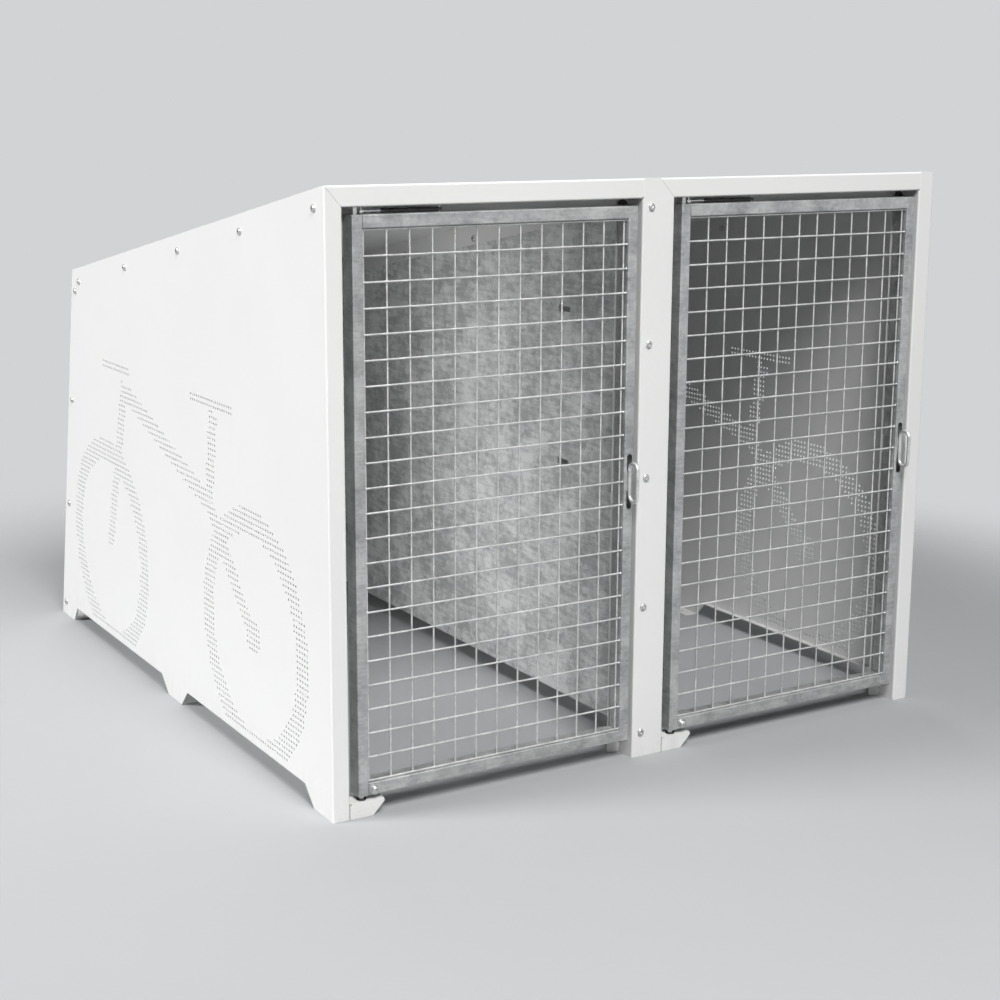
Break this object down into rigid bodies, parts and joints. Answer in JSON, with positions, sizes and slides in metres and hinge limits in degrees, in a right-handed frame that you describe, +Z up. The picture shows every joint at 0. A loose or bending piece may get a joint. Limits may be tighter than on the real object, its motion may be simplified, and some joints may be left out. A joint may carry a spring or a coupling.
{
  "type": "bicycle locker",
  "caption": "Bicycle locker with two bays side by side: folded steel casing with a sloping roof, perforated sides, two hinged wire mesh doors, padlock staples and feet.",
  "frame": {"origin": "on the ground, in the middle of the bounding box's footprint", "axes": "+Z up, +Y from the doors to the rear sheet, +X to the right seen from the doors"},
  "size_m": [1.5448, 1.782, 1.257],
  "materials": {
    "white_powder_coat": "smooth satin powder coat in light grey white",
    "galvanised_sheet": "spangled galvanised sheet, dull",
    "galvanised_tube": "hot-dip galvanised, satin grey",
    "galvanised_wire": "hot-dip galvanised, satin grey",
    "galvanised_bar": "hot-dip galvanised, satin grey",
    "zinc_fasteners": "bright zinc plated",
    "black_rubber": "matte",
    "black_plastic": "matte moulded",
    "black_paint": "satin black paint",
    "chromed_rod": "polished"
  },
  "bodies": {
    "casing": {"side_panel_left": "white_powder_coat", "side_panel_right": "white_powder_coat", "centre_post": "white_powder_coat", "partition": "galvanised_sheet", "side_screws_left": "zinc_fasteners", "side_screws_right": "zinc_fasteners", "side_nuts_left": "zinc_fasteners", "side_nuts_right": "zinc_fasteners", "partition_bolts": "zinc_fasteners", "partition_nuts": "zinc_fasteners", "centre_post_screws": "zinc_fasteners", "centre_post_nuts": "zinc_fasteners", "roof_tray_left": "white_powder_coat", "rear_panel_left": "white_powder_coat", "pivot_bracket_left": "white_powder_coat", "lower_pivot_pin_left": "zinc_fasteners", "upper_pivot_pin_left": "zinc_fasteners", "strut_frame_stud_left": "zinc_fasteners", "buffer_cup_left": "zinc_fasteners", "buffer_rubber_left": "black_rubber", "padlock_staple_left": "galvanised_bar", "staple_lug_left": "galvanised_bar", "roof_tray_right": "white_powder_coat", "rear_panel_right": "white_powder_coat", "pivot_bracket_right": "white_powder_coat", "lower_pivot_pin_right": "zinc_fasteners", "upper_pivot_pin_right": "zinc_fasteners", "strut_frame_stud_right": "zinc_fasteners", "buffer_cup_right": "zinc_fasteners", "buffer_rubber_right": "black_rubber", "padlock_staple_right": "galvanised_bar", "staple_lug_right": "galvanised_bar"},
    "door_left": {"door_left_hinge_stile": "galvanised_tube", "door_left_lock_stile": "galvanised_tube", "door_left_top_rail": "galvanised_tube", "door_left_bottom_rail": "galvanised_tube", "door_left_mesh_uprights": "galvanised_wire", "door_left_mesh_crosswires": "galvanised_wire", "door_left_pivot_plugs": "black_plastic", "door_left_stile_caps": "black_plastic", "door_left_clamp_bolt": "zinc_fasteners", "door_left_clamp_washer": "zinc_fasteners", "door_left_clamp_plate": "zinc_fasteners", "door_left_strut_stud": "zinc_fasteners"},
    "strut_cylinder_left": {"strut_cylinder_left": "black_paint"},
    "strut_rod_left": {"strut_rod_left": "chromed_rod"},
    "door_right": {"door_right_hinge_stile": "galvanised_tube", "door_right_lock_stile": "galvanised_tube", "door_right_top_rail": "galvanised_tube", "door_right_bottom_rail": "galvanised_tube", "door_right_mesh_uprights": "galvanised_wire", "door_right_mesh_crosswires": "galvanised_wire", "door_right_pivot_plugs": "black_plastic", "door_right_stile_caps": "black_plastic", "door_right_clamp_bolt": "zinc_fasteners", "door_right_clamp_washer": "zinc_fasteners", "door_right_clamp_plate": "zinc_fasteners", "door_right_strut_stud": "zinc_fasteners"},
    "strut_cylinder_right": {"strut_cylinder_right": "black_paint"},
    "strut_rod_right": {"strut_rod_right": "chromed_rod"}
  },
  "joints": [
    {"name": "door_left_hinge", "type": "hinge", "parent": "casing", "child": "door_left", "pos_m": [-0.699, -0.844, 0.6225], "axis": [0, 0, -1], "range_deg": [0, 90]},
    {"name": "strut_left_swivel", "type": "hinge", "parent": "door_left", "child": "strut_cylinder_left", "pos_m": [-0.514, -0.84, 1.2065], "axis": [0, 0, -1], "range_deg": [0, 4]},
    {"name": "strut_left_slide", "type": "slide", "parent": "strut_cylinder_left", "child": "strut_rod_left", "axis": [-1, 0, 0], "range_m": [0, 0.018]},
    {"name": "door_right_hinge", "type": "hinge", "parent": "casing", "child": "door_right", "pos_m": [0.069, -0.844, 0.6225], "axis": [0, 0, -1], "range_deg": [0, 90]},
    {"name": "strut_right_swivel", "type": "hinge", "parent": "door_right", "child": "strut_cylinder_right", "pos_m": [0.254, -0.84, 1.2065], "axis": [0, 0, -1], "range_deg": [0, 4]},
    {"name": "strut_right_slide", "type": "slide", "parent": "strut_cylinder_right", "child": "strut_rod_right", "axis": [-1, 0, 0], "range_m": [0, 0.018]}
  ],
  "couplings": [
    {"joint": "strut_left_swivel", "follows": "door_left_hinge", "ratio": 0.043876},
    {"joint": "strut_left_slide", "follows": "door_left_hinge", "m_per_rad": 0.010935},
    {"joint": "strut_right_swivel", "follows": "door_right_hinge", "ratio": 0.043876},
    {"joint": "strut_right_slide", "follows": "door_right_hinge", "m_per_rad": 0.010935}
  ]
}
